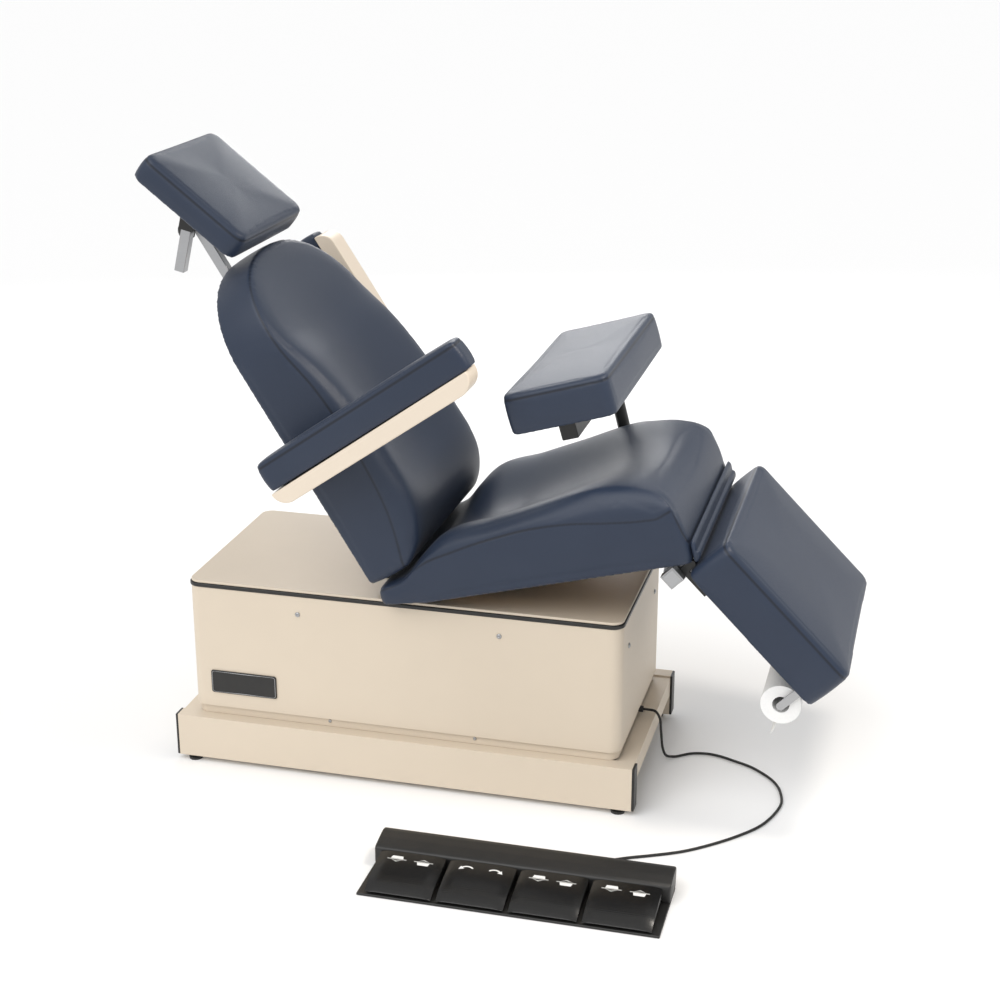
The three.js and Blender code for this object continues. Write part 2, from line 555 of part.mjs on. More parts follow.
/** The back cushion: thickest at the shoulders' support, thinner to its round top. */
function backCushion() {
  const b = BACK;
  const side = new THREE.Shape();
  side.moveTo(b.rear, b.bottom);
  side.lineTo(b.rear + 76, b.bottom);
  side.splineThru([
    [112, 20], [158, 56], [188, 116], [193, 206], [190, 363], [164, 510], [136, 590], [114, 690], [98, 765],
    [72, 798],
  ].map(([thick, rise]) => new THREE.Vector2(b.rear + thick, b.bottom + rise)));
  side.lineTo(b.rear, b.top);
  const slab = across(side, -CUSHION_WIDTH / 2, CUSHION_WIDTH / 2, 18);
  const outline = forward(backOutline(CUSHION_WIDTH / 2, b.bottom - 5, b.top), b.rear - 5, b.rear + 220, 20);
  return geometryOf(solid(slab).intersect(solid(outline)));
}

// ---- headrest ----
/** A group whose own X runs toward the foot end and whose Z runs up along the head post. */
function alongPost(group) {
  const frame = leaning(group, -HEAD_POST_ANGLE);
  return [frame, inLean(-HEAD_POST_ANGLE, HEAD_HINGE.x, HEAD_HINGE.z)];
}

function addHeadBar(group) {
  const frame = leaning(group, BACK_ANGLE);
  const h = HEAD_BAR;
  const half = h.size / 2;
  piece(frame, 'head_bar', box(h.x - half, h.x + half, -half, half, h.bottom, h.top), 'steel');
  // the clamp is drawn in the back's axes: one sleeve on the bar, a turned one on the post
  const y0 = HEAD_POST_Y - 17.5;
  const sleeve = box(h.x - 17.5, h.x + 17.5, -17.5, 17.5, CLAMP.t - 20, CLAMP.t + 20);
  const barBore = box(h.x - 13, h.x + 13, -13, 13, CLAMP.t - 60, CLAMP.t + 60);
  const postSleeve = turnedToPost(box(-17.5, 17.5, y0, -13, CLAMP.down - 20, CLAMP.down + 20));
  const postBore = turnedToPost(box(-13, 13, HEAD_POST_Y - 13, -15, CLAMP.down - 60, CLAMP.down + 60));
  piece(frame, 'head_clamp', cut(join(sleeve, postSleeve), barBore, postBore), 'black');
}

/** A shape drawn along the head post, from its hinge, moved into the back's axes. */
function turnedToPost(geometry) {
  const [x, t] = inLean(BACK_ANGLE, HEAD_HINGE.x, HEAD_HINGE.z);
  return geometry.rotateY(radians(BACK_ANGLE + HEAD_POST_ANGLE)).translate(x, 0, t);
}

function addHeadKnob(group) {
  const frame = leaning(group, BACK_ANGLE);
  const turned = knob(21, 36).rotateY(-Math.PI / 2);
  piece(frame, 'head_clamp_knob', turned.translate(HEAD_BAR.x - 17.5 - GAP, 8, CLAMP.t - 8), 'black');
}

function addHeadPost(group) {
  const [frame, [x, z]] = alongPost(group);
  const half = HEAD_BAR.size / 2;
  const y = HEAD_POST_Y;
  const length = Math.hypot(HEAD_HINGE.x - HEAD_POST_LOW.x, HEAD_HINGE.z - HEAD_POST_LOW.z);
  const post = box(x - half, x + half, y - half, y + half, z - length, z);
  const eye = barY(half, y - half, y + half, x, z);
  const bore = barY(HEAD_HINGE.pin + GAP, y - 30, y + 30, x, z, 16);
  piece(frame, 'head_post', cut(join(post, eye), bore), 'steel');
}

function addHeadPad(group) {
  const frame = leaning(group, HEAD_ANGLE);
  const [a, n] = inLean(HEAD_ANGLE, HEAD_HINGE.x, HEAD_HINGE.z);
  const h = HEAD;
  const half = h.width / 2;
  const plateTop = h.bottom - GAP;
  const y = HEAD_POST_Y;
  const parts = [box(a - 60, a + 60, -80, 80, plateTop - 4, plateTop)];
  for (const y0 of [y - 17.5, y + 13.5]) {
    parts.push(box(a - 10, a + 10, y0, y0 + 4, n, plateTop), barY(10, y0, y0 + 4, a, n));
  }
  parts.push(barY(HEAD_HINGE.pin, y - 19, y + 19, a, n, 16));
  piece(frame, 'head_bracket', join(...parts), 'steel');
  const pad = raised(roundedShape(h.a0, h.a1, -half, half, 30), h.bottom, h.top, 4);
  piece(frame, 'head_cushion', pad, 'vinyl');
}

// ---- arms ----
function addArm(group, side, angle, sign) {
  const frame = leaning(group, angle);
  const [x, z] = inLean(angle, ARM_PIVOT.x, ARM_PIVOT.z);
  const a = ARM;
  const y0 = Math.min(sign * a.inner, sign * a.outer);
  const y1 = y0 + a.outer - a.inner;
  const pad = roundedShape(x + a.rear, x + a.front, z + a.split, z + a.padTop, 18);
  piece(frame, `arm_pad_${side}`, across(pad, y0, y1, 5), 'vinyl');
  const top = z + a.split - GAP;
  const bottom = z + a.shellBottom;
  const r = top - bottom - 3;
  const shell = new THREE.Shape();
  shell.moveTo(x + a.rear, top);
  shell.absarc(x + a.rear + r, bottom + r, r, Math.PI, 1.5 * Math.PI);
  shell.absarc(x + a.shellFront - r, bottom + r, r, 1.5 * Math.PI, 2 * Math.PI);
  shell.lineTo(x + a.shellFront, top);
  piece(frame, `arm_shell_${side}`, across(shell, y0 + 1, y1 - 1, 10), 'paint');
}

// ---- the whole table ----
const table = new THREE.Group();
addBase(table);
addColumnMiddle(table);
addFootControl(table);
for (let i = 0; i < PEDALS; i += 1) addPedal(table, i);
addCable(table);
addLift(table);
addSeat(table);
addLegRest(table);
addPaperRoll(table);
addArmboardPost(table);
addArmboard(table);
addArmboardKnob(table);
addBack(table);
addHeadBar(table);
addHeadKnob(table);
addHeadPost(table);
addHeadPad(table);
addArm(table, 'near', ARM_ANGLES.near, -1);
addArm(table, 'far', ARM_ANGLES.far, 1);

// the origin is under the middle of everything but the cable, on the floor
table.updateMatrixWorld(true);
const bounds = new THREE.Box3();
table.traverse((node) => {
  if (node.isMesh && node.name !== 'cable') bounds.expandByObject(node, true);
});
const centre = bounds.getCenter(new THREE.Vector3());
table.position.set(-centre.x, -centre.y, 0);
table.updateMatrixWorld(true);

const whole = new THREE.Group();
whole.add(table);
export default whole;
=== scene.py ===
"""Looks of the powered exam chair: upholstery, paint, steel, plastic, cable, camera and light.

All lengths are metres in the frame of the CAD model. The base's middle is the origin of BASE below.
"""
import json
import math

import bmesh
import bpy
import numpy as np
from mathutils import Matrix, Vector
from mathutils.kdtree import KDTree


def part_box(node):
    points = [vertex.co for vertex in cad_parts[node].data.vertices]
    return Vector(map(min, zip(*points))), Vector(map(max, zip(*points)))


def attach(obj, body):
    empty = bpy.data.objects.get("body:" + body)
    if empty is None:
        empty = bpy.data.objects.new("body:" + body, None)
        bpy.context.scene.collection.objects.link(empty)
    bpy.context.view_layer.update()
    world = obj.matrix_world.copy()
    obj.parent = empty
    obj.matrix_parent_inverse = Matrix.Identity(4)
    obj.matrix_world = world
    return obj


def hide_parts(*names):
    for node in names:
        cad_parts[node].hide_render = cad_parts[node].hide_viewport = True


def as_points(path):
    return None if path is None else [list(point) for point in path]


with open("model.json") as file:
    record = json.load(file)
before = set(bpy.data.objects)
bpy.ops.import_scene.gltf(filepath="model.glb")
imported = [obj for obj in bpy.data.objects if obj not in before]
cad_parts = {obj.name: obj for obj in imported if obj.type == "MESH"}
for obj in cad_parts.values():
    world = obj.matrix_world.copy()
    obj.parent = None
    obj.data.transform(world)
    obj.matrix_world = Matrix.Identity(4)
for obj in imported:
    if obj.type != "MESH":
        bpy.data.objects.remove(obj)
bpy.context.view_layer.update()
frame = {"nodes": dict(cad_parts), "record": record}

LOW, HIGH = (np.array(corner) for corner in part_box("base_frame"))
BASE = np.array([(LOW[0] + HIGH[0]) / 2, (LOW[1] + HIGH[1]) / 2, 0.0])

SEAT_LEAN, BACK_LEAN, LEG_LEAN, HEAD_LEAN = (math.radians(a) for a in (14.6, 31.7, -45.2, -38.2))
BOARD_LEAN, NEAR_LEAN, FAR_LEAN = (math.radians(a) for a in (16.2, 34.8, 122.8))
ARM_PIVOT = (-0.150, 0.832)
HALF_WIDTH = 0.3  # seat, back and leg cushions, before they swell


# ---- camera and light ----
def add_camera():
    """A 66 mm lens, a little above the seat, turned a little toward the foot end."""
    azimuth, elevation = math.radians(14.7226), math.radians(19.8086)
    data = bpy.data.cameras.new("camera")
    data.lens = 65.8
    data.sensor_width = 36
    camera = bpy.data.objects.new("camera", data)
    camera.location = Vector(BASE) + Vector((1.24441, -4.04697, 2.16851))
    camera.rotation_euler = (math.pi / 2 - elevation, 0, azimuth)
    bpy.context.scene.collection.objects.link(camera)
    bpy.context.scene.camera = camera


def add_area(name, place, aim, size, power, colour=(1, 1, 1)):
    """A square soft light at one point, turned to face another."""
    data = bpy.data.lights.new(name, "AREA")
    data.size = size
    data.energy = power
    data.color = colour
    light = bpy.data.objects.new(name, data)
    light.location = Vector(BASE) + Vector(place)
    light.rotation_euler = (Vector(aim) - Vector(place)).to_track_quat("-Z", "Y").to_euler()
    bpy.context.scene.collection.objects.link(light)


def add_sun(toward, strength, spread):
    """A wide, even light from one direction, so that the floor has the same tone everywhere."""
    data = bpy.data.lights.new("sun", "SUN")
    data.energy, data.angle = strength, math.radians(spread)
    light = bpy.data.objects.new("sun", data)
    light.rotation_euler = Vector(toward).to_track_quat("Z", "Y").to_euler()
    bpy.context.scene.collection.objects.link(light)


def add_studio():
    """A pale floor under a pale sky, a wide sun, a light from behind and a spot on the pedals."""
    scene = bpy.context.scene
    scene.view_settings.view_transform = "Standard"
    world = bpy.data.worlds.new("studio")
    scene.world = world
    world.use_nodes = True
    world.node_tree.nodes["Background"].inputs["Color"].default_value = (1, 1, 1, 1)
    world.node_tree.nodes["Background"].inputs["Strength"].default_value = 0.71
    add_sun((-0.35, -0.75, 0.95), 1.5, 50)
    add_area("far_side", (-1.15, 4.4, 2.35), (0.3, 0, 0.7), 1.7, 36)
    add_area("pedal_spot", (1.45, -0.25, 2.5), (0.5, -0.68, 0.05), 0.45, 22, (1.0, 0.93, 0.84))
    mesh = bpy.data.meshes.new("floor")
    far = 70.0
    mesh.from_pydata([(-far, -far, 0), (far, -far, 0), (far, far, 0), (-far, far, 0)], [], [(0, 1, 2, 3)])
    floor = bpy.data.objects.new("floor", mesh)
    scene.collection.objects.link(floor)
    shader = Shader("floor_pale")
    shader.surface(base_color=(0.93, 0.93, 0.93), roughness=0.85)
    mesh.materials.append(shader.material)


# ---- shader maths ----
class Value:
    """A socket that can be added, multiplied and so on; each operation adds a Math node."""

    def __init__(self, shader, socket):
        self.shader, self.socket = shader, socket

    def math(self, operation, *others):
        values = {0: self, **{i + 1: other for i, other in enumerate(others)}}
        return self.shader.node("ShaderNodeMath", {"operation": operation}, values)

    def __add__(self, other):
        return self.math("ADD", other)

    def __mul__(self, other):
        return self.math("MULTIPLY", other)

    def __sub__(self, other):
        return self.math("SUBTRACT", other)

    def __rsub__(self, other):
        return self.math("MULTIPLY", -1.0).math("ADD", other)

    def clamped(self):
        return self.math("MAXIMUM", 0.0).math("MINIMUM", 1.0)

    __radd__ = __add__
    __rmul__ = __mul__


class Shader:
    """One material and the nodes that it is made of."""

    def __init__(self, name):
        self.material = bpy.data.materials.new(name)
        self.material.use_nodes = True
        self.tree = self.material.node_tree
        self.principled = self.tree.nodes["Principled BSDF"]

    def node(self, kind, settings=None, values=None, output=0):
        """A node with its settings made first, then its sockets filled with numbers or links."""
        made = self.tree.nodes.new(kind)
        for key, value in (settings or {}).items():
            if key == "stops":
                ramp = made.color_ramp
                for stop, (place, tone) in zip(ramp.elements, value):
                    stop.position, stop.color = place, (*tone, 1)
            else:
                setattr(made, key, value)
        for key, value in (values or {}).items():
            self.fill(made.inputs[key], value)
        return Value(self, made.outputs[output])

    def fill(self, socket, value):
        """Link a value to a socket, or set the socket's own number or colour."""
        if isinstance(value, Value):
            self.tree.links.new(value.socket, socket)
        elif isinstance(value, tuple) and len(value) == 3 and socket.type == "RGBA":
            socket.default_value = (*value, 1)
        else:
            socket.default_value = value

    def place(self):
        return self.node("ShaderNodeTexCoord", output="Object")

    def noise(self, scale, detail=3.0, roughness=0.55, where=None):
        values = {"Vector": where or self.place(), "Scale": scale, "Detail": detail, "Roughness": roughness}
        return self.node("ShaderNodeTexNoise", {}, values, output="Fac")

    def sewn(self, gap):
        """1 where the distance to a sewn line was written, 0 on a piece that has no such line."""
        return self.node("ShaderNodeMath", {"operation": "GREATER_THAN"}, {0: gap, 1: 1e-7})

    def cells(self, scale, where=None):
        values = {"Vector": where or self.place(), "Scale": scale}
        return self.node("ShaderNodeTexVoronoi", {"feature": "F1"}, values, output="Distance")

    def mix(self, factor, first, second):
        """A colour between two; inputs 0, 6 and 7 and output 2 are the Mix node's colour sockets."""
        values = {0: factor, 6: first, 7: second}
        return self.node("ShaderNodeMix", {"data_type": "RGBA"}, values, output=2)

    def bump(self, height, strength, distance):
        values = {"Height": height, "Strength": strength, "Distance": distance}
        return self.node("ShaderNodeBump", {}, values)

    def surface(self, **inputs):
        """Fill the Principled sockets, each named in small letters with underscores."""
        for key, value in inputs.items():
            self.fill(self.principled.inputs[key.replace("_", " ").title().replace("Ior", "IOR")], value)
        return self.material


# ---- mesh making ----
def make_object(name, points, faces, look, smooth=True):
    """A mesh object at the origin from points in the object's frame, with its faces turned outward."""
    mesh = bpy.data.meshes.new(name)
    mesh.from_pydata(np.asarray(points, float).tolist(), [], [tuple(map(int, f)) for f in faces])
    work = bmesh.new()
    work.from_mesh(mesh)
    bmesh.ops.remove_doubles(work, verts=work.verts, dist=1e-6)
    bmesh.ops.recalc_face_normals(work, faces=work.faces)
    work.to_mesh(mesh)
    work.free()
    mesh.polygons.foreach_set("use_smooth", [smooth] * len(mesh.polygons))
    mesh.materials.append(look)
    made = bpy.data.objects.new(name, mesh)
    bpy.context.scene.collection.objects.link(made)
    return made


def grid_faces(rows, columns, wrap=True):
    """The quads of a grid of rows by columns of points; with wrap the last column meets the first."""
    across = columns if wrap else columns - 1
    r, c = np.meshgrid(np.arange(rows - 1), np.arange(across), indexing="ij")
    right = (c + 1) % columns
    return np.stack([r * columns + c, r * columns + right, (r + 1) * columns + right, (r + 1) * columns + c],
                    axis=-1).reshape(-1, 4)


def lean(points, angle, origin=(0.0, 0.0)):
    """Points along, across and out of a surface that leans up by an angle, moved into the frame.

    Along turns into cos in X and sin in Z, out turns into minus sin in X and cos in Z.
    """
    along, across, out = np.moveaxis(np.asarray(points, float), -1, 0)
    c, s = math.cos(angle), math.sin(angle)
    x = origin[0] + c * along - s * out
    z = origin[1] + s * along + c * out
    return np.stack([x + BASE[0], across + BASE[1], z], axis=-1)


def rounded_outline(x0, x1, y0, y1, radius, count=160):
    """A rectangle with round corners as count points, evenly spaced along its length, anticlockwise."""
    corners = [(x1 - radius, y0 + radius, -90), (x1 - radius, y1 - radius, 0)]
    corners += [(x0 + radius, y1 - radius, 90), (x0 + radius, y0 + radius, 180)]
    points = []
    for cx, cy, start in corners:
        turn = np.radians(start + np.linspace(0, 90, 12))
        points.append(np.stack([cx + radius * np.cos(turn), cy + radius * np.sin(turn)], axis=-1))
    return resampled(np.concatenate(points), count)


def resampled(points, count):
    """A closed line of points as count points at even steps along it."""
    ring = np.vstack([points, points[:1]])
    length = np.concatenate([[0], np.cumsum(np.linalg.norm(np.diff(ring, axis=0), axis=1))])
    at = np.linspace(0, length[-1], count, endpoint=False)
    return np.stack([np.interp(at, length, ring[:, k]) for k in range(ring.shape[1])], axis=-1)


def inward(outline, distance, centre):
    """Each outline point moved by a distance toward the centre point."""
    to_centre = centre - outline
    far = np.linalg.norm(to_centre, axis=1, keepdims=True)
    return outline + to_centre / far * np.minimum(distance, far)


def padded_form(outline, bottom, seam, top, edge=0.012, bulge=0.0025, rings=26):
    """A closed upholstered form over an outline, as points (along, across, out) and faces.

    The wall goes from bottom to seam height, bulging by a sine. The top panel starts at the seam: a
    quarter ellipse of width edge, then top(along, across, distance from the edge). seam is a height
    for each outline point.
    """
    centre = outline.mean(axis=0)
    reach = np.linalg.norm(centre - outline, axis=1)
    levels = []
    for share in (0.0, 0.35, 0.7):
        flat = centre + (outline - centre) * share
        levels.append(np.column_stack([flat, np.full(len(outline), bottom)]))
    for share in np.linspace(0, 1, 13):
        out = bulge * math.sin(math.pi * share)
        ring = inward(outline, -out if share < 1 else 0.0, centre)
        levels.append(np.column_stack([ring, bottom + (seam - bottom) * share]))
    for share in np.linspace(0.012, 1, rings) ** 1.5:
        ring = centre + (outline - centre) * (1 - share)
        distance = reach * share
        rise = np.sqrt(np.clip(1 - (1 - np.clip(distance / edge, 0, 1)) ** 2, 0, 1))
        height = seam + (top(ring[:, 0], ring[:, 1], distance) - seam) * rise
        levels.append(np.column_stack([ring, height]))
    return np.concatenate(levels), grid_faces(len(levels), len(outline))


def smooth_steps(at, places, heights):
    """Heights between given places, joined by a curve that keeps its slope (cubic, monotone)."""
    places, heights = np.asarray(places, float), np.asarray(heights, float)
    slope = np.gradient(heights, places)
    k = np.clip(np.searchsorted(places, at) - 1, 0, len(places) - 2)
    step = places[k + 1] - places[k]
    t = np.clip((at - places[k]) / step, 0, 1)
    a, b = heights[k], heights[k + 1]
    return (a * (1 + 2 * t) * (1 - t) ** 2 + slope[k] * step * t * (1 - t) ** 2
            + b * t * t * (3 - 2 * t) + slope[k + 1] * step * t * t * (t - 1))


CLOTH_STEPS = 12
CLOTH_GRID = 0.005  # size of the even quads


def swell(piece, cap, pressure=4.0):
    """Puffs a form up as a cloth skin under air pressure; each point then goes outward by at most cap."""
    remesh = piece.modifiers.new("even", "REMESH")
    remesh.mode, remesh.voxel_size, remesh.use_smooth_shade = "VOXEL", CLOTH_GRID, True
    even = piece.modifiers.new("even_out", "SMOOTH")
    even.factor, even.iterations = 0.5, 3
    bake(piece)
    before = np.empty(len(piece.data.vertices) * 3)
    piece.data.vertices.foreach_get("co", before)
    cloth = piece.modifiers.new("cloth", "CLOTH")
    settings = cloth.settings
    settings.quality = 4
    settings.use_pressure, settings.uniform_pressure_force = True, pressure
    settings.effector_weights.gravity = 0
    settings.tension_stiffness = settings.compression_stiffness = 25
    settings.bending_stiffness = 1.5
    cloth.collision_settings.use_collision = False
    scene = bpy.context.scene
    for step in range(1, CLOTH_STEPS + 1):
        scene.frame_set(step)
    bake(piece)
    after = np.empty(len(piece.data.vertices) * 3)
    piece.data.vertices.foreach_get("co", after)
    normals = np.empty(len(before))
    piece.data.vertices.foreach_get("normal", normals)
    normals = normals.reshape(-1, 3)
    out = ((after - before).reshape(-1, 3) * normals).sum(axis=1, keepdims=True)
    move = normals * cap * np.tanh(np.maximum(out, 0) / cap)
    piece.data.vertices.foreach_set("co", (before.reshape(-1, 3) + move).ravel())
    scene.frame_set(1)
    fine = piece.modifiers.new("fine", "SUBSURF")
    fine.levels = fine.render_levels = 1
    bake(piece)
    mesh = piece.data
    mesh.polygons.foreach_set("use_smooth", [True] * len(mesh.polygons))
    mesh.update()


def bake(piece):
    """The piece's mesh becomes what its modifiers make of it."""
    graph = bpy.context.evaluated_depsgraph_get()
    graph.update()
    made = bpy.data.meshes.new_from_object(piece.evaluated_get(graph), depsgraph=graph)
    old, name = piece.data, piece.data.name
    piece.modifiers.clear()
    piece.data = made
    bpy.data.meshes.remove(old)
    made.name = name


def sew(piece, paths, depth=0.0009, width=0.0035):
    """Pulls the skin in along sewn lines by a bell of a given depth and width, nearest point by point."""
    points = np.concatenate([resampled(np.asarray(p), 900) for p in paths])
    tree = KDTree(len(points))
    for index, point in enumerate(points):
        tree.insert(point, index)
    tree.balance()
    mesh = piece.data
    spots = np.empty(len(mesh.vertices) * 3)
    normals = np.empty(len(mesh.vertices) * 3)
    mesh.vertices.foreach_get("co", spots)
    mesh.vertices.foreach_get("normal", normals)
    spots, normals = spots.reshape(-1, 3), normals.reshape(-1, 3)
    gap = np.array([tree.find(Vector(spot))[2] for spot in spots])
    spots -= normals * (depth * np.exp(-((gap / width) ** 2)))[:, None]
    mesh.vertices.foreach_set("co", spots.ravel())
    mesh.attributes.new("seam_gap", "FLOAT", "POINT").data.foreach_set("value", gap)
    mesh.update()


# ---- materials ----
def vinyl():
    """Slate navy upholstery vinyl: fine leather grain, faint mottling, a soft sheen, and painted shade along
    the seams.
    """
    s = Shader("vinyl_navy")
    mottle = s.noise(9.0, 4.0)
    grain = s.cells(900.0) * 0.7 + s.noise(420.0, 4.0) * 0.5
    tone = s.mix(mottle, (0.0155, 0.0255, 0.0500), (0.0195, 0.0310, 0.0590))
    tone = s.mix((s.noise(2.2, 2.0) - 0.45) * 1.6, tone, (0.024, 0.035, 0.062))
    gap = s.node("ShaderNodeAttribute", {"attribute_name": "seam_gap"}, output="Fac")
    # painted shade: a thin dark band along each seam stands in for the shade in the sewn crease
    seam_shade = (gap * -330.0 + 1.45).clamped() * s.sewn(gap)
    tone = s.mix(seam_shade * 0.8, tone, (0.004, 0.006, 0.012))
    s.surface(base_color=tone, roughness=s.noise(300.0, 2.0) * 0.14 + 0.36, specular_ior_level=0.43)
    s.surface(normal=s.bump(grain, 0.34, 0.0006), sheen_weight=0.05, sheen_roughness=0.4)
    return s.material


def paint(name, colour, roughness=0.36, peel=0.05):
    """Powder-coat paint with a fine orange peel and very faint clouding."""
    s = Shader(name)
    deeper = tuple(channel * 0.94 for channel in colour)
    tone = s.mix((s.noise(3.5, 3.0) - 0.35) * 1.4, deeper, colour)
    s.surface(base_color=tone, roughness=s.noise(60.0, 3.0) * 0.10 + roughness)
    s.surface(normal=s.bump(s.noise(520.0, 2.0), peel, 0.0006))
    return s.material


def black_plastic(name="plastic_black", roughness=0.34, grain=0.10, tone_range=(0.010, 0.018)):
    """Moulded black plastic with a fine texture and slightly uneven gloss."""
    s = Shader(name)
    dark, light = tone_range
    tone = s.mix(s.noise(30.0, 3.0), (dark, dark, dark), (light, light * 0.96, light * 0.89))
    s.surface(base_color=tone, roughness=s.noise(140.0, 3.0) * 0.14 + roughness)
    s.surface(normal=s.bump(s.cells(1400.0), grain, 0.0004))
    return s.material


def bright_steel():
    """Zinc-bright steel with drawn lines."""
    s = Shader("steel_bright")
    colour = (0.46, 0.465, 0.475)
    where = s.node("ShaderNodeMapping", {}, {"Vector": s.place(), "Scale": (1.0, 1.0, 40.0)})
    lines = s.noise(26.0, 5.0, 0.6, where)
    darker = tuple(channel * 0.8 for channel in colour)
    s.surface(base_color=s.mix(lines, darker, colour), roughness=lines * 0.18 + 0.24, metallic=0.9)
    s.surface(normal=s.bump(lines, 0.08, 0.0004))
    return s.material


def plywood():
    """Birch plywood under the cushions."""
    s = Shader("plywood_birch")
    where = s.node("ShaderNodeMapping", {}, {"Vector": s.place(), "Scale": (2.0, 14.0, 14.0)})
    grain = s.noise(12.0, 6.0, 0.6, where)
    s.surface(base_color=s.mix(grain, (0.34, 0.22, 0.12), (0.52, 0.37, 0.22)), roughness=grain * 0.1 + 0.6)
    s.surface(normal=s.bump(grain, 0.2, 0.0005))
    return s.material


def paper():
    """White crepe paper with fine creases."""
    s = Shader("paper_crepe")
    crepe = s.noise(330.0, 3.0)
    s.surface(base_color=s.mix(crepe, (0.84, 0.84, 0.83), (0.92, 0.92, 0.91)), roughness=crepe * 0.05 + 0.85)
    s.surface(normal=s.bump(crepe, 0.25, 0.0006))
    return s.material


MATERIALS = {
    "vinyl": vinyl(),
    "cream": paint("paint_cream", (0.70, 0.605, 0.485), 0.42),
    "shell": paint("shell_cream", (0.79, 0.685, 0.56), 0.30, 0.03),
    "dark_steel": paint("paint_graphite", (0.030, 0.031, 0.035), 0.42),
    "black_steel": paint("paint_black", (0.012, 0.012, 0.0115), 0.36),
    "black": black_plastic(),
    "pedal": black_plastic("plastic_pedal", 0.17, 0.0, (0.0065, 0.0085)),
    "rubber": black_plastic("rubber_black", 0.55, 0.25),
    "bright": bright_steel(),
    "wood": plywood(),
    "paper": paper(),
    "white": paint("print_white", (0.86, 0.86, 0.84), 0.5, 0.0),
    "grey": paint("print_grey", (0.50, 0.50, 0.48), 0.5, 0.0),
}
NODE_LOOKS = {
    "base_frame": "cream", "inner_shroud": "cream", "outer_shroud": "cream", "top_plate": "cream",
    "arm_shell_near": "shell", "arm_shell_far": "shell",
    "column_outer": "dark_steel", "tilt_bearing_near": "dark_steel", "tilt_bearing_far": "dark_steel",
    "seat_frame": "dark_steel", "back_frame": "dark_steel", "head_receiver": "dark_steel",
    "leg_frame": "black_steel", "arm_yoke": "black_steel", "armboard_post": "black_steel",
    "armboard_beam": "black_steel", "armboard_socket": "black_steel", "head_clamp": "black_steel",
    "column_middle": "bright", "column_inner": "bright", "tilt_shaft": "bright", "back_hinge_pin": "bright",
    "leg_cross_tube": "bright", "paper_holder": "bright", "head_bar": "bright", "head_post": "bright",
    "head_bracket": "bright", "paper_roll": "paper", "seat_board": "wood", "back_board": "wood",
    "cable": "rubber",
}
# the edge rounding of the hard parts that show, in metres
EDGES = {
    "base_frame": 0.0022, "outer_shroud": 0.0012, "top_plate": 0.0022, "top_gasket": 0.002,
    "inner_shroud": 0.0010, "arm_shell_near": 0.018, "arm_shell_far": 0.018, "nameplate_blank": 0.001,
    "rail_cap_near_head": 0.0015, "rail_cap_near_foot": 0.0015, "rail_cap_far_head": 0.0015,
    "rail_cap_far_foot": 0.0015, "foot_control_plate": 0.002,
    "armboard_post": 0.001, "armboard_beam": 0.003, "armboard_socket": 0.001, "head_bar": 0.0018,
    "head_post": 0.0018, "head_clamp": 0.0016, "head_receiver": 0.0015, "arm_yoke": 0.0012,
    "leg_cross_tube": 0.0012, "paper_holder": 0.0008, "leg_frame": 0.001, "head_bracket": 0.0006,
    "control_box": 0.003, "back_frame": 0.001, "seat_frame": 0.001,
}


def body_of(node):
    """The moving body that a CAD node belongs to."""
    for body, nodes in frame["record"]["behaviour"]["bodies"].items():
        if node in nodes:
            return body
    return None


def slot_of(node):
    """The record's material slot of a CAD node."""
    for part in frame["record"]["subparts"]:
        if part["node"] == node:
            return part["material_slot"]
    return None


def finish_hard_parts():
    """Each CAD node gets its material; the ones that show are copied with rounded edges."""
    for name, node in frame["nodes"].items():
        look = MATERIALS[NODE_LOOKS.get(name, "black")]
        node.data.materials.clear()
        node.data.materials.append(look)
        if name in EDGES:
            round_edges(name, node, EDGES[name], look)


def round_edges(name, node, radius, look):
    """A copy of a CAD node with its doubles merged, flat faces joined and sharp edges rounded."""
    mesh = node.data.copy()
    mesh.name = name + "_finished"
    work = bmesh.new()
    work.from_mesh(mesh)
    work.transform(node.matrix_world)
    bmesh.ops.remove_doubles(work, verts=work.verts, dist=2e-5)
    bmesh.ops.dissolve_limit(work, angle_limit=math.radians(1.0), verts=work.verts, edges=work.edges)
    work.to_mesh(mesh)
    work.free()
    piece = bpy.data.objects.new(name + "_finished", mesh)
    bpy.context.scene.collection.objects.link(piece)
    bevel = piece.modifiers.new("edges", "BEVEL")
    bevel.width, bevel.segments, bevel.limit_method = radius, 3, "ANGLE"
    bevel.angle_limit = math.radians(32)
    bevel.harden_normals = True
    mesh.polygons.foreach_set("use_smooth", [True] * len(mesh.polygons))
    mesh.set_sharp_from_angle(angle=math.radians(35))
    mesh.materials.clear()
    mesh.materials.append(look)
    hand_over(piece, body_of(name), slot_of(name), name)


def hand_over(piece, body, slot, *nodes):
    """The piece rides on a body and stands for the CAD nodes that it replaces, which are hidden; slot is not
    used.
    """
    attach(piece, body)
    if nodes:
        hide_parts(*nodes)


# ---- upholstery ----
def upholster(name, body, outline, heights, place, cap, **form):
    """One cushion: a padded form, puffed up as cloth, then sewn along its seam.

    heights holds three functions of (along, across): the underside, the seam, and the top, which also
    takes the distance from the edge. place moves points (along, across, out) into the frame.
    """
    underside, seam_height, top = heights
    seam = seam_height(outline[:, 0], outline[:, 1])
    low = underside(outline[:, 0], outline[:, 1])
    points, faces = padded_form(outline, low, seam, top, **form)
    piece = make_object(name, place(points), faces, MATERIALS["vinyl"])
    swell(piece, cap)
    line = np.column_stack([outline, seam])
    sew(piece, [place(line)])
    hand_over(piece, body, "navy_vinyl", name_of_node(name))


def name_of_node(name):
    """The CAD node that a piece of the same name, without its ending, stands for."""
    return name.rsplit("_skin", 1)[0]


def flat(height):
    """A height that is the same everywhere."""
    return lambda x, y, *rest: np.full(np.shape(x), float(height))


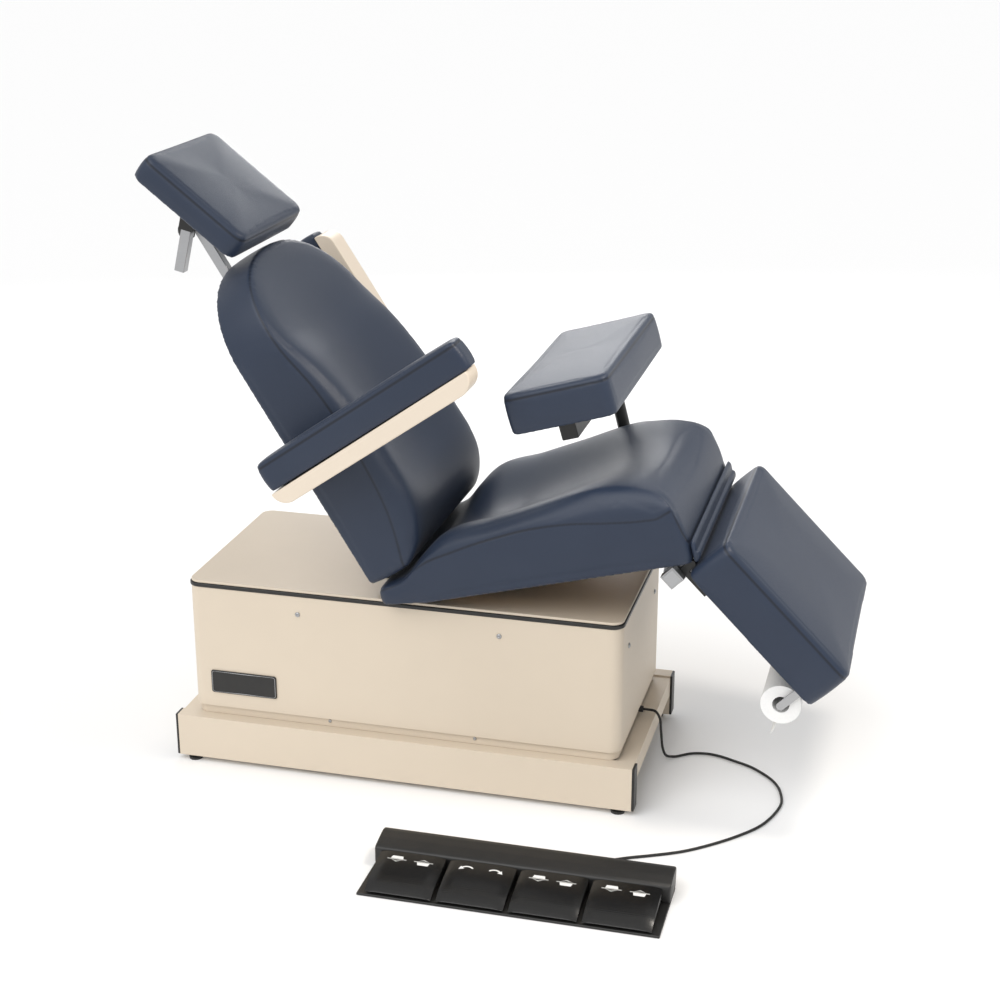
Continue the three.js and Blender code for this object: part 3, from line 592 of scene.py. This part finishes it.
def crowned(height, rise, reach):
    """A top that rises by a smooth crown: full once the edge is further away than reach."""
    return lambda x, y, d: height + rise * (1 - np.clip(1 - d / reach, 0, 1) ** 2)


def seat_cushion():
    """Low behind, crest near the knees, a scooped middle between side bolsters, a rolled front."""
    bottom = 0.463
    places = [0.093, 0.157, 0.189, 0.228, 0.292, 0.356, 0.417, 0.477,
              0.535, 0.592, 0.674, 0.757, 0.79, 0.814, 0.83]
    sides = [0.046, 0.062, 0.082, 0.099, 0.113, 0.125, 0.133, 0.139,
             0.140, 0.137, 0.126, 0.118, 0.118, 0.127, 0.132]
    crest_places = [0.095, 0.168, 0.213, 0.26, 0.405, 0.52, 0.61,
                    0.65, 0.70, 0.76, 0.80, 0.834, 0.847]
    crest_heights = [0.055, 0.070, 0.105, 0.138, 0.162, 0.178, 0.192,
                     0.196, 0.193, 0.182, 0.166, 0.146, 0.128]
    scoop_places = [0.095, 0.2, 0.3, 0.45, 0.6, 0.72, 0.8, 0.85]
    scoop_depths = [0.0, 0.030, 0.052, 0.050, 0.040, 0.022, 0.006, 0.0]

    def underside(u, y):
        return bottom + 0.010 * np.clip((0.2 - u) / 0.1, 0, 1)

    def seam(u, y):
        side = smooth_steps(np.minimum(u, 0.83), places, sides)
        front = np.clip((u - 0.829) / 0.014, 0, 1)
        return bottom + side + (0.046 - side) * front ** 0.8

    def top(u, y, d):
        middle = np.clip(1 - (np.abs(y) / 0.245) ** 2, 0, 1)
        scoop = smooth_steps(u, scoop_places, scoop_depths) * (0.25 * middle + 0.75 * middle ** 2)
        return bottom + smooth_steps(u, crest_places, crest_heights) - scoop

    outline = rounded_outline(0.094, 0.843, -HALF_WIDTH, HALF_WIDTH, 0.022, 420)
    upholster("seat_cushion_skin", "seat", outline, (underside, seam, top), lambda p: lean(p, SEAT_LEAN),
              0.0018, edge=0.055, rings=44)


def back_cushion():
    """Straight sides under a round top, bolsters at both sides of a scooped middle."""
    rear = 0.2335
    places = [0.48, 0.6, 0.75, 0.85, 0.95, 1.05, 1.15, 1.28]
    sides = [0.098, 0.134, 0.150, 0.150, 0.142, 0.122, 0.110, 0.096]
    crest_places = [0.48, 0.504, 0.56, 0.62, 0.70, 0.847, 0.993, 1.075, 1.17, 1.28]
    crest_heights = [0.125, 0.142, 0.176, 0.190, 0.191, 0.188, 0.161, 0.134, 0.116, 0.100]
    scoop_places = [0.48, 0.58, 0.7, 0.85, 1.0, 1.12, 1.27]
    scoop_depths = [0.006, 0.024, 0.046, 0.050, 0.030, 0.010, 0.0]

    def seam(t, y):
        return rear + smooth_steps(t, places, sides)

    def top(t, y, d):
        middle = np.clip(1 - (np.abs(y) / 0.24) ** 2, 0, 1)
        scoop = smooth_steps(t, scoop_places, scoop_depths) * (0.25 * middle + 0.75 * middle ** 2)
        return rear + smooth_steps(t, crest_places, crest_heights) - scoop

    def place(points):
        return lean(points * np.array([1, 1, -1]), BACK_LEAN + math.pi / 2)

    turn = np.linspace(-math.pi / 2, math.pi / 2, 90)
    power = 2 / 2.25  # of a slightly squared ellipse
    wide = HALF_WIDTH * np.sign(np.sin(turn)) * np.abs(np.sin(turn)) ** power
    dome = np.stack([1.044 + 0.235 * np.abs(np.cos(turn)) ** power, wide], axis=-1)
    foot = np.array([[0.488, HALF_WIDTH], [0.479, 0.291], [0.478, 0.27], [0.478, -0.27], [0.479, -0.291],
                     [0.488, -HALF_WIDTH]])
    outline = resampled(np.concatenate([dome, foot]), 420)
    upholster("back_cushion_skin", "back", outline, (flat(rear), seam, top), place,
              0.0018, edge=0.055, rings=44)


BLOCK_CAP = 0.0012  # how far a rectangular pad's cloth may swell


def block_cushion(name, body, box, low, high, angle, radius, origin=(0.0, 0.0), rise=0.006):
    """A rectangular pad with a crowned top: box is along and across, low and high are out."""
    outline = rounded_outline(*box, radius, 300)
    seam = high - 0.010
    upholster(name, body, outline, (flat(low), flat(seam), crowned(high, rise, 0.16)),
              lambda p: lean(p, angle, origin), BLOCK_CAP, edge=0.011)


def cushions():
    seat_cushion()
    back_cushion()
    block_cushion("leg_cushion_skin", "leg_rest", (0.038, 0.447, -0.301, 0.301), 0.9355, 1.051,
                  LEG_LEAN, 0.026)
    block_cushion("head_cushion_skin", "headrest", (-1.402, -1.103, -0.198, 0.198), 0.7370, 0.800,
                  HEAD_LEAN, 0.028)
    block_cushion("armboard_pad_skin", "armboard", (0.5215, 0.7705, -0.2705, 0.3365), 0.8005, 0.893,
                  BOARD_LEAN, 0.024)
    for side, angle, y0 in (("near", NEAR_LEAN, -0.4175), ("far", FAR_LEAN, 0.3475)):
        block_cushion(f"arm_pad_{side}_skin", f"arm_{side}", (-0.1060, 0.4640, y0, y0 + 0.070),
                      0.0145, 0.084, angle, 0.016, ARM_PIVOT, rise=0.003)


# ---- the cable ----
CABLE_ROUTE = [
    (0.5455, 0.020, 0.134), (0.556, 0.020, 0.134), (0.576, 0.017, 0.133), (0.588, 0.014, 0.118),
    (0.593, 0.013, 0.080), (0.598, 0.016, 0.034), (0.606, 0.022, 0.012), (0.624, 0.034, 0.0046),
    (0.665, 0.064, 0.0036), (0.700, 0.072, 0.0036), (0.732, 0.068, 0.0036), (0.776, 0.050, 0.0036),
    (0.816, 0.031, 0.0036), (0.850, 0.004, 0.0036), (0.877, -0.025, 0.0036), (0.895, -0.056, 0.0036),
    (0.905, -0.086, 0.0036), (0.912, -0.133, 0.0036), (0.902, -0.190, 0.0036), (0.876, -0.255, 0.0036),
    (0.833, -0.312, 0.0036), (0.776, -0.369, 0.0036), (0.719, -0.414, 0.0036), (0.658, -0.447, 0.0036),
    (0.600, -0.475, 0.0036), (0.550, -0.505, 0.0036), (0.520, -0.530, 0.004), (0.516, -0.556, 0.010),
    (0.515, -0.5694, 0.012),
]


def smooth_path(points, count=700):
    """A Catmull-Rom curve through listed points, stepped by the square root of their spacing."""
    p = np.asarray(points, float)
    p = np.vstack([2 * p[0] - p[1], p, 2 * p[-1] - p[-2]])
    knots = np.concatenate([[0], np.cumsum(np.sqrt(np.linalg.norm(np.diff(p, axis=0), axis=1)))])
    at = np.linspace(knots[1], knots[-2], count)
    k = np.clip(np.searchsorted(knots, at, side="right") - 1, 1, len(p) - 3)
    t = [knots[k + i] for i in (-1, 0, 1, 2)]
    q = [p[k + i] for i in (-1, 0, 1, 2)]

    def blend(a, b, ta, tb):
        return ((tb - at) / (tb - ta))[:, None] * a + ((at - ta) / (tb - ta))[:, None] * b

    a1, a2, a3 = (blend(q[i], q[i + 1], t[i], t[i + 1]) for i in range(3))
    b1, b2 = blend(a1, a2, t[0], t[2]), blend(a2, a3, t[1], t[3])
    return blend(b1, b2, t[1], t[2])


def tube_along(path, radius, sides=14):
    """Rings of a given radius round a path, turned as little as possible, with both ends closed."""
    ahead = np.gradient(path, axis=0)
    ahead /= np.linalg.norm(ahead, axis=1, keepdims=True)
    side = np.empty_like(path)
    side[0] = np.cross(ahead[0], (0.0, 0.0, 1.0)) + (1e-4, 0, 0)
    for i in range(1, len(path)):
        side[i] = side[i - 1] - ahead[i] * (side[i - 1] @ ahead[i])
        side[i] /= np.linalg.norm(side[i])
    side[0] /= np.linalg.norm(side[0])
    up = np.cross(ahead, side)
    turn = np.linspace(0, 2 * math.pi, sides, endpoint=False)
    spokes = side[:, None] * np.cos(turn)[:, None] + up[:, None] * np.sin(turn)[:, None]
    rings = path[:, None] + radius * spokes
    faces = [tuple(f) for f in grid_faces(len(path), sides)]
    faces += [tuple(range(sides)), tuple(range((len(path) - 1) * sides, len(path) * sides))]
    return rings.reshape(-1, 3), faces


def cable():
    """The round black cable from the base to the foot control."""
    path = smooth_path(CABLE_ROUTE) + BASE
    points, faces = tube_along(path, 0.00325)
    piece = make_object("cable_sheath", points, faces, MATERIALS["rubber"])
    hand_over(piece, "base", "black_rubber", "cable")
    tuple(path[0])
    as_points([tuple(p) for p in path[::10]] + [tuple(path[-1])])


# ---- small pieces ----
def lathe(profile, sides=32):
    """Points and faces of a profile of (radius, height) turned about Z."""
    turn = np.linspace(0, 2 * math.pi, sides, endpoint=False)
    profile = np.asarray(profile, float)
    points = np.stack([profile[:, :1] * np.cos(turn), profile[:, :1] * np.sin(turn),
                       np.broadcast_to(profile[:, 1:], (len(profile), sides))], axis=-1)
    return points.reshape(-1, 3), [tuple(f) for f in grid_faces(len(profile), sides)]


def aimed(points, place, axis):
    """Points drawn along +Z, turned to an axis and moved to a place measured from the base's middle."""
    turn = np.array(Vector((0, 0, 1)).rotation_difference(Vector(axis)).to_matrix())
    return points @ turn.T + np.asarray(place) + BASE


def screw(name, body, place, axis, radius=0.0065, look="bright"):
    """A domed screw head with a hexagon socket, its underside on the surface."""
    dome = [(0, 0.0002), (radius, 0.0002)]
    dome += [(radius * math.cos(a), 0.0004 + 0.55 * radius * math.sin(a)) for a in np.linspace(0, 1.1, 7)]
    socket = radius * 0.42
    dome += [(socket, dome[-1][1]), (socket * 0.96, dome[-1][1] * 0.45), (0, dome[-1][1] * 0.4)]
    points, faces = lathe(dome, 24)
    piece = make_object(name, aimed(points, place, axis), faces, MATERIALS[look])
    hand_over(piece, body, "bright_steel")


def screws():
    """Cabinet screws, inner band screws and the fasteners along the leg cushion's underside."""
    for side, y, out in (("near", -0.256, -1), ("far", 0.256, 1)):
        for index, x in enumerate((-0.256, 0.246)):
            screw(f"cabinet_screw_{side}_{index + 1}", "lift", (x, y, 0.417), (0, out, 0))
        for index, x in enumerate((-0.184, 0.184)):
            screw(f"band_screw_{side}_{index + 1}", "base", (x, y * 0.9766, 0.1385), (0, out, 0), 0.0045)
    for index, y in enumerate((-0.17, 0.17)):
        screw(f"cabinet_screw_foot_{index + 1}", "lift", (0.539, y, 0.39), (1, 0, 0))
        screw(f"cabinet_screw_head_{index + 1}", "lift", (-0.539, y, 0.39), (-1, 0, 0))
    c, s = math.cos(LEG_LEAN), math.sin(LEG_LEAN)
    for side, y in (("near", -0.288), ("far", 0.288)):
        for index, along in enumerate((0.10, 0.17, 0.24, 0.31, 0.38)):
            place = (c * along - s * 0.9374, y, s * along + c * 0.9374)
            screw(f"leg_screw_{side}_{index + 1}", "leg_rest", place, (s, 0, -c), 0.006, "black")


def bridging_roll():
    """A soft folded strip that fills the gap between the seat's front and the leg cushion.

    Its cross-section, in X and Z, is a closed smooth curve through a few chosen points: a raised fold
    beside the seat, a crease, and a lower fold beside the leg cushion.
    """
    section = np.array([(0.7010, 0.6700), (0.6955, 0.6900), (0.6925, 0.7060), (0.6960, 0.7130),
                        (0.7020, 0.7085), (0.7060, 0.6960), (0.7080, 0.6900), (0.7125, 0.6885),
                        (0.7165, 0.6810), (0.7150, 0.6700), (0.7095, 0.6620), (0.7040, 0.6620)])
    closed = np.vstack([section, section[:1]])
    curve = smooth_path(np.column_stack([closed, np.zeros(len(closed))]), 240)
    ring = resampled(curve[:, :2], 72)
    middle = ring.mean(axis=0)
    half, end = 0.2915, 0.008  # half the strip's width, and the length of its round ends
    near_end = end * np.array([0.02, 0.1, 0.3, 0.6])
    across = np.concatenate([[-half], -half + near_end, np.linspace(-0.282, 0.282, 90),
                             half - near_end[::-1], [half]])
    inset = np.clip((half - np.abs(across)) / end, 0, 1)
    size = np.sqrt(1 - (1 - inset) ** 2) * (1 + 0.012 * np.sin(across * 47) * np.sin(across * 19 + 1))
    flat_ring = middle + (ring - middle) * size[:, None, None]
    wide = np.broadcast_to(across[:, None], flat_ring.shape[:2])
    points = np.stack([flat_ring[..., 0], wide, flat_ring[..., 1]], axis=-1).reshape(-1, 3) + BASE
    faces = grid_faces(len(across), len(ring))
    piece = make_object("bridging_roll_skin", points, faces, MATERIALS["vinyl"])
    hand_over(piece, "seat", "navy_vinyl", "bridging_roll")


def tube_ends():
    """The bright square ends of the leg rest's cross tube, outside its brackets, with their plugs."""
    half, wall = 0.019, 0.003
    parts = (("sleeve", half, 0.2725, 0.298), ("plug", half - wall, 0.297, 0.2995))
    for side, sign in (("near", -1), ("far", 1)):
        for part, size, y0, y1 in parts:
            ring = np.array([(1, 0), (0, 1), (-1, 0), (0, -1)]) * size * math.sqrt(2)
            rows = []
            for y, share in ((y0, 0.0), (y0, 0.96), (y0 + 0.0008, 1), (y1 - 0.0008, 1), (y1, 0.96),
                             (y1, 0.0)):
                rows.append(np.column_stack([0.656 + ring[:, 0] * share, np.full(4, sign * y),
                                             0.622 + ring[:, 1] * share]))
            points = np.concatenate(rows) + BASE
            name = f"cross_tube_{part}_{side}"
            piece = make_object(name, points, grid_faces(6, 4), MATERIALS["bright"], False)
            hand_over(piece, "seat", "bright_steel")


PEDAL_COUNT = 4
PEDAL_PITCH = 0.162
PEDALS_MIDDLE = 0.394
HOOD_ENDS = (0.058, 0.730)
PEDAL_HALF = 0.0755
PEDAL_BACK = -0.6418  # where a pedal starts, in front of the hood
PEDAL_RUN = 0.1265    # from there to the lip
PEDAL_FLOOR = 0.0115  # the pedal's underside


def pedal_height(depth):
    """Height of a pedal's top, a nearly flat ramp that rolls over: depth is 0 at the hood, 1 at the lip."""
    ramp = 0.0435 - 0.0240 * depth + 0.0035 * np.sin(math.pi * depth)
    return ramp - 0.0065 * np.clip((depth - 0.72) / 0.28, 0, 1) ** 2


def pedal_dip(share):
    """How much lower the top is than at the middle: share is -1 and 1 at the sides, which roll down."""
    return 0.0034 * np.clip((np.abs(share) - 0.62) / 0.38, 0, 1) ** 2


def pedal_skin(index, middle):
    """One pedal: a ramp with faint ribs across its lower half, its sides and its lip rolled down."""
    depth = np.concatenate([[0.0], np.linspace(0.0, 1.0, 150), [1.0]])
    share = np.concatenate([[-1.0, -1.0], np.linspace(-0.998, 0.998, 60), [1.0, 1.0]])
    d, w = np.meshgrid(depth, share, indexing="ij")
    ribs = 0.00009 * np.sin(d * 150) * np.clip((d - 0.5) / 0.2, 0, 1) * np.clip((0.97 - d) / 0.05, 0, 1)
    z = pedal_height(d) - pedal_dip(w) + ribs * np.clip((0.95 - np.abs(w)) / 0.05, 0, 1)
    z[0], z[-1] = PEDAL_FLOOR, PEDAL_FLOOR
    z[:, 0], z[:, -1] = PEDAL_FLOOR, PEDAL_FLOOR
    y = PEDAL_BACK - PEDAL_RUN * d
    points = np.stack([middle + PEDAL_HALF * w, y, z], axis=-1).reshape(-1, 3) + BASE
    count = len(share)
    faces = [tuple(f) for f in grid_faces(len(depth), count, wrap=False)]
    ring = [i for i in range(count)] + [r * count + count - 1 for r in range(1, len(depth))]
    ring += [(len(depth) - 1) * count + i for i in range(count - 2, -1, -1)]
    ring += [r * count for r in range(len(depth) - 2, 0, -1)]
    faces.append(tuple(ring[::-1]))
    piece = make_object(f"pedal_{index + 1}_skin", points, faces, MATERIALS["pedal"])
    names = ("back", "tilt", "height", "foot")
    hand_over(piece, f"pedal_{names[index]}", "black_plastic", f"pedal_{index + 1}")
    for mark, direction in ((-0.031, 1), (0.031, -1)):
        pictogram(f"pedal_{index + 1}_mark_{'up' if direction > 0 else 'down'}", names[index], middle + mark,
                  direction, index == 1)


def hood():
    """The foot control's hood: one smooth slope from its round rear edge down to the pedals."""
    profile = np.array([(-0.6405, 0.0067), (-0.6405, 0.0400), (-0.6380, 0.0448), (-0.6300, 0.0478),
                        (-0.6050, 0.0532), (-0.5780, 0.0572), (-0.5675, 0.0562), (-0.5620, 0.0500),
                        (-0.5615, 0.0400), (-0.5690, 0.0067)])
    wall = resampled(profile, 90)
    middle = wall.mean(axis=0)
    rows = []
    first, last = HOOD_ENDS
    for x, share in ((first, 0.0), (first, 0.93), (first + 0.0012, 0.975), (first + 0.004, 1.0),
                     (last - 0.004, 1.0), (last - 0.0012, 0.975), (last, 0.93), (last, 0.0)):
        ring = middle + (wall - middle) * share
        rows.append(np.column_stack([np.full(len(ring), x), ring]))
    piece = make_object("foot_hood_skin", np.concatenate(rows) + BASE, grid_faces(8, 90), MATERIALS["black"])
    piece.data.set_sharp_from_angle(angle=math.radians(40))
    hand_over(piece, "base", "black_plastic", "foot_control_hood")


def printed(name, body, outline, middle, depth0, look="white"):
    """A flat printed shape on a pedal: outline in (across, up the ramp) in metres, lifted 0.3 mm."""
    outline = np.asarray(outline, float)
    depth = depth0 - outline[:, 1] / PEDAL_RUN
    across = outline[:, 0]
    share = (middle + across - pedal_middle(name)) / PEDAL_HALF
    z = pedal_height(depth) - pedal_dip(share) + 0.0004
    points = np.stack([middle + across, PEDAL_BACK - PEDAL_RUN * depth, z], axis=-1) + BASE
    piece = make_object(name, points, [tuple(range(len(points)))], MATERIALS[look], False)
    hand_over(piece, f"pedal_{body}", "black_plastic")


def pedal_middle(name):
    """The middle of the pedal that a printed mark is on, along X."""
    return along_x(int(name.split("_")[1]) - 1)


def along_x(index):
    """Where the middle of a pedal is, along X."""
    return PEDALS_MIDDLE + (index - (PEDAL_COUNT - 1) / 2) * PEDAL_PITCH


def pictogram(name, body, middle, direction, turning):
    """A plain sign for up or down: a slab above or below a thin line with a point, or a turned arrow."""
    if turning:
        turn = np.radians(np.linspace(150, 30, 14))
        arc = np.concatenate([np.stack([0.016 * np.cos(turn), 0.0125 * np.sin(turn)], axis=-1),
                              np.stack([0.012 * np.cos(turn[::-1]), 0.0086 * np.sin(turn[::-1])], axis=-1)])
        arc[:, 0] *= direction
        printed(name + "_arc", body, arc if direction > 0 else arc[::-1], middle, 0.24)
        head = np.array([(-0.019, -0.0015), (-0.0065, 0.0020), (-0.0155, 0.0100)]) * (direction, 1)
        printed(name + "_head", body, head, middle, 0.24)
        return
    slab = np.array([(-0.0145, 0.0018), (0.0145, 0.0018), (0.0120, 0.0110), (-0.0120, 0.0110)])
    slab = slab * (1, direction)
    line = np.array([(-0.022, -0.0013), (0.022, -0.0013), (0.022, 0.0013), (-0.022, 0.0013)])
    point = np.array([(-0.014, -0.0014), (0.0, -0.0088), (0.014, -0.0014), (0.0, -0.0054)]) * (1, direction)
    for part, shape, look in (("slab", slab, "white"), ("line", line, "grey"), ("point", point, "grey")):
        printed(f"{name}_{part}", body, shape, middle, 0.22, look)


def foot_control():
    """The four pedals, then the hood behind them."""
    for index in range(PEDAL_COUNT):
        pedal_skin(index, along_x(index))
    hood()


def nameplate_rim():
    """A raised bright rim round the blank nameplate."""
    outline = rounded_outline(-0.4865, -0.3205, 0.1875, 0.2425, 0.005, 120)
    centre = outline.mean(axis=0)
    rows = []
    for move, y in ((0, -0.2594), (0.0, -0.2601), (0.0012, -0.2603), (0.0016, -0.2594)):
        ring = inward(outline, move, centre)
        rows.append(np.column_stack([ring[:, 0], np.full(len(ring), y), ring[:, 1]]))
    rows.append(rows[0])
    points = np.concatenate(rows) + BASE
    piece = make_object("nameplate_rim", points, grid_faces(5, 120), MATERIALS["bright"])
    hand_over(piece, "lift", "bright_steel")


def paper_tail():
    """The paper's loose end, hanging straight down from the roll's lower front, cut with a slight wave."""
    centre = np.array([0.9058, 0.3091])
    turn = np.radians(np.linspace(120, 0, 30)) - math.pi / 2 - 0.2
    round_part = centre + 0.0476 * np.stack([np.cos(turn), np.sin(turn)], axis=-1)
    start = round_part[-1]
    drop = np.linspace(0, 1, 12)[1:]
    hanging = np.stack([start[0] - 0.010 * drop ** 2, start[1] - 0.030 * drop], axis=-1)
    line = np.concatenate([round_part, hanging])
    across = np.linspace(-0.2284, 0.2284, 40)
    wave = 1 + 0.0008 * np.sin(across * 40)
    points = np.stack([np.broadcast_to(line[:, None, 0], (len(line), 40)) * wave,
                       np.broadcast_to(across, (len(line), 40)),
                       np.broadcast_to(line[:, None, 1], (len(line), 40))], axis=-1).reshape(-1, 3) + BASE
    piece = make_object("paper_tail", points, grid_faces(len(line), 40, wrap=False), MATERIALS["paper"])
    thick = piece.modifiers.new("thickness", "SOLIDIFY")
    thick.thickness, thick.offset = 0.0003, 1
    hand_over(piece, "paper", "paper")


add_camera()
cable()
add_studio()
finish_hard_parts()
cushions()
bridging_roll()
tube_ends()
foot_control()
screws()
nameplate_rim()
paper_tail()
